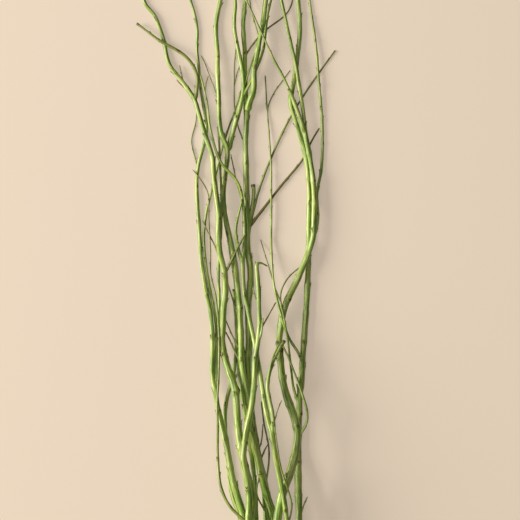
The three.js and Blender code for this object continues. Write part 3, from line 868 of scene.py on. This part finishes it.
def make_bud_tree():
    """Geometry Nodes: one bud on each seat point, its tip along the shoot and its back on the bark."""
    tree = bpy.data.node_groups.new("willow_buds", "GeometryNodeTree")
    face = tree.interface
    face.new_socket("Seats", in_out="INPUT", socket_type="NodeSocketGeometry")
    for name in ("Bud Length", "Bud Width", "Bud Depth"):
        face.new_socket(name, in_out="INPUT", socket_type="NodeSocketFloat")
    face.new_socket("Bud Scale", in_out="INPUT", socket_type="NodeSocketMaterial")
    face.new_socket("Buds", in_out="OUTPUT", socket_type="NodeSocketGeometry")
    given = add_node(tree, "NodeGroupInput").outputs
    ball = add_node(tree, "GeometryNodeMeshUVSphere",
                    {"Segments": 8, "Rings": 7, "Radius": 0.5}).outputs["Mesh"]
    place = add_node(tree, "GeometryNodeInputPosition").outputs[0]
    parts = add_node(tree, "ShaderNodeSeparateXYZ", {0: place}).outputs
    slim = add_node(tree, "ShaderNodeMapRange", {"Value": parts["Z"], "From Min": -0.5, "From Max": 0.5,
                                                 "To Min": BUD_FOOT, "To Max": BUD_TIP}).outputs[0]
    narrow = add_node(tree, "ShaderNodeMath", {0: parts["X"], 1: slim}, operation="MULTIPLY").outputs[0]
    thin = add_node(tree, "ShaderNodeMath", {0: parts["Y"], 1: slim}, operation="MULTIPLY").outputs[0]
    ahead = add_node(tree, "ShaderNodeMath", {0: parts["Z"], 1: BUD_AHEAD}, operation="ADD").outputs[0]
    shaped = add_node(tree, "ShaderNodeCombineXYZ", {0: narrow, 1: thin, 2: ahead}).outputs[0]
    size = add_node(tree, "ShaderNodeCombineXYZ", {0: given["Bud Depth"], 1: given["Bud Width"],
                                                   2: given["Bud Length"]}).outputs[0]
    sized = add_node(tree, "ShaderNodeVectorMath", {0: shaped, 1: size}, operation="MULTIPLY").outputs[0]
    bud = add_node(tree, "GeometryNodeSetPosition", {"Geometry": ball, "Position": sized}).outputs[0]
    out = add_node(tree, "GeometryNodeInputNamedAttribute", {"Name": "seat_out"}, data_type="FLOAT_VECTOR")
    along = add_node(tree, "GeometryNodeInputNamedAttribute", {"Name": "seat_ahead"},
                     data_type="FLOAT_VECTOR")
    scale = add_node(tree, "GeometryNodeInputNamedAttribute", {"Name": "seat_size"}, data_type="FLOAT")
    upright = add_node(tree, "FunctionNodeAlignRotationToVector", {"Vector": along.outputs[0]}, axis="Z")
    facing = add_node(tree, "FunctionNodeAlignRotationToVector",
                      {"Rotation": upright.outputs[0], "Vector": out.outputs[0]}, axis="X", pivot_axis="Z")
    points = add_node(tree, "GeometryNodeMeshToPoints", {"Mesh": given["Seats"]}).outputs[0]
    spread = add_node(tree, "GeometryNodeInstanceOnPoints",
                      {"Points": points, "Instance": bud, "Rotation": facing.outputs[0],
                       "Scale": scale.outputs[0]}).outputs[0]
    real = add_node(tree, "GeometryNodeRealizeInstances", {0: spread}).outputs[0]
    smooth = add_node(tree, "GeometryNodeSetShadeSmooth", {0: real}).outputs[0]
    done = add_node(tree, "GeometryNodeSetMaterial", {"Geometry": smooth, "Material": given["Bud Scale"]})
    add_node(tree, "NodeGroupOutput", {0: done.outputs[0]})
    return tree


def set_buds(node, seats):
    """The buds of one stem as one piece, made from its seats: (place, outward, ahead, size)."""
    mesh = bpy.data.meshes.new(node + "_seats")
    mesh.from_pydata([tuple(seat[0]) for seat in seats], [], [])
    add_attribute(mesh, "seat_out", "FLOAT_VECTOR", np.array([seat[1] for seat in seats]))
    add_attribute(mesh, "seat_ahead", "FLOAT_VECTOR", np.array([seat[2] for seat in seats]))
    add_attribute(mesh, "seat_size", "FLOAT", np.array([seat[3] for seat in seats]))
    buds = bpy.data.objects.new(node + "_buds", mesh)
    bpy.context.scene.collection.objects.link(buds)
    setter = buds.modifiers.new("buds", "NODES")
    setter.node_group = bud_tree
    sockets = {item.name: item.identifier for item in bud_tree.interface.items_tree
               if item.in_out == "INPUT"}
    for name, size in BUD_SIZES.items():
        setter[sockets[name]] = size * MM
    setter[sockets["Bud Scale"]] = bud_scale
    made = bpy.data.meshes.new_from_object(buds.evaluated_get(bpy.context.evaluated_depsgraph_get()))
    buds.modifiers.remove(setter)
    buds.data = made
    bpy.data.meshes.remove(mesh)
    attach(buds, "root")


def bud_seats(axis, buds, dice):
    """Each bud's seat on the bark, in the place that bud_places gave it."""
    tangents, sides, ups = carried_frames(axis["points"])
    seats = []
    for at, angle in buds:
        i = min(int(np.searchsorted(axis["along"], at)), len(axis["along"]) - 1)
        outward = sides[i] * math.cos(angle) + ups[i] * math.sin(angle)
        girth = axis["radii"][i]
        place = axis["points"][i] + outward * girth * BUD_SEAT
        ahead = tangents[i] + outward * BUD_OPENING
        ahead /= np.linalg.norm(ahead)
        size = (THIN_BUD + BUD_GROWTH * smooth_step(*BUD_GIRTHS, girth)) * dice.uniform(*BUD_STRAY)
        if place[2] - BUD_CLEARANCE > 0:
            seats.append((place, outward, ahead, float(size)))
    return seats


# ---- The stems ----

def grow_stem(node):
    """One stem: its wood as one closed solid in place of its frame, and its buds."""
    axes = read_axes(node)
    seats = []
    wood = None
    for number, axis in enumerate(axes):
        dice = seeded(node, number)
        axis["is_dry"] = number in DRY_SHOOTS.get(node, ())
        buds = bud_places(axis, dice)
        name = node + "_wood" if wood is None else f"{node}_shoot_{number}"
        tube = grow_tube(name, node, axis, buds, dice)
        seats += bud_seats(axis, buds, dice)
        if wood is None:
            wood = tube
        else:
            join_wood(wood, tube)
    if len(axes) > 1:
        heal_grafts(wood.data)
    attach(wood, "root")
    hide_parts(node)
    set_buds(node, seats)


bud_tree = make_bud_tree()
for node in sorted(frame["nodes"]):
    grow_stem(node)


# ---- Floor, light and camera ----

def box_place(share_x, share_y, height):
    """A place over the bunch's footprint, as shares of its box."""
    low, high = Vector(cad_box[0]), Vector(cad_box[1])
    return Vector((low.x + share_x * (high.x - low.x), low.y + share_y * (high.y - low.y), height))


def lay_floor():
    """Pale paper. Its own faint glow stands for a backdrop that is lit apart from the stems."""
    mesh = bpy.data.meshes.new("floor")
    corners = [(-1, -1), (1, -1), (1, 1), (-1, 1)]
    mesh.from_pydata([(x * FLOOR_REACH, y * FLOOR_REACH, 0) for x, y in corners], [], [(0, 1, 2, 3)])
    floor = bpy.data.objects.new("floor", mesh)
    bpy.context.scene.collection.objects.link(floor)
    floor.location.z = cad_box[0][2] - FLOOR_DROP
    material, _, shader = new_material("pale_paper")
    shader.inputs["Base Color"].default_value = linear(FLOOR_PAPER)
    shader.inputs["Roughness"].default_value = 0.9
    shader.inputs["Specular IOR Level"].default_value = 0.1
    shader.inputs["Emission Color"].default_value = linear(FLOOR_GLOW)
    shader.inputs["Emission Strength"].default_value = FLOOR_GLOW_STRENGTH
    mesh.materials.append(material)
    floor.visible_diffuse = False


def add_light(name, place, target, size, watts, colour):
    light = bpy.data.lights.new(name, "AREA")
    light.size = size
    light.energy = watts
    light.color = linear(colour)[:3]
    lamp = bpy.data.objects.new(name, light)
    bpy.context.scene.collection.objects.link(lamp)
    lamp.location = place
    lamp.rotation_euler = (target - place).to_track_quat("-Z", "Y").to_euler()


def light_scene(middle):
    add_light("key", middle + Vector(KEY_PLACE), middle, KEY_SIZE, KEY_WATTS, KEY_COLOUR)
    add_light("top", middle + Vector(TOP_PLACE), middle, TOP_SIZE, TOP_WATTS, TOP_COLOUR)
    world = bpy.data.worlds.new("studio")
    bpy.context.scene.world = world
    world.use_nodes = True
    room = world.node_tree.nodes["Background"].inputs
    room["Color"].default_value = linear(ROOM_COLOUR)
    room["Strength"].default_value = ROOM_STRENGTH


def set_camera(middle, width):
    camera = bpy.data.cameras.new("camera")
    camera.lens = FOCAL_LENGTH
    camera.sensor_width = SENSOR_WIDTH
    eye = bpy.data.objects.new("camera", camera)
    bpy.context.scene.collection.objects.link(eye)
    eye.location = middle + Vector((0, 0, width * FOCAL_LENGTH / SENSOR_WIDTH))
    bpy.context.scene.camera = eye


bpy.context.scene.view_settings.view_transform = "Standard"
bunch_length = cad_box[1][1] - cad_box[0][1]
bunch_height = cad_box[1][2] - cad_box[0][2]
view_middle = box_place(*VIEW_MIDDLE, bunch_height * VIEW_HEIGHT)
lay_floor()
light_scene(view_middle)
set_camera(view_middle, VIEW_WIDTH * bunch_length)
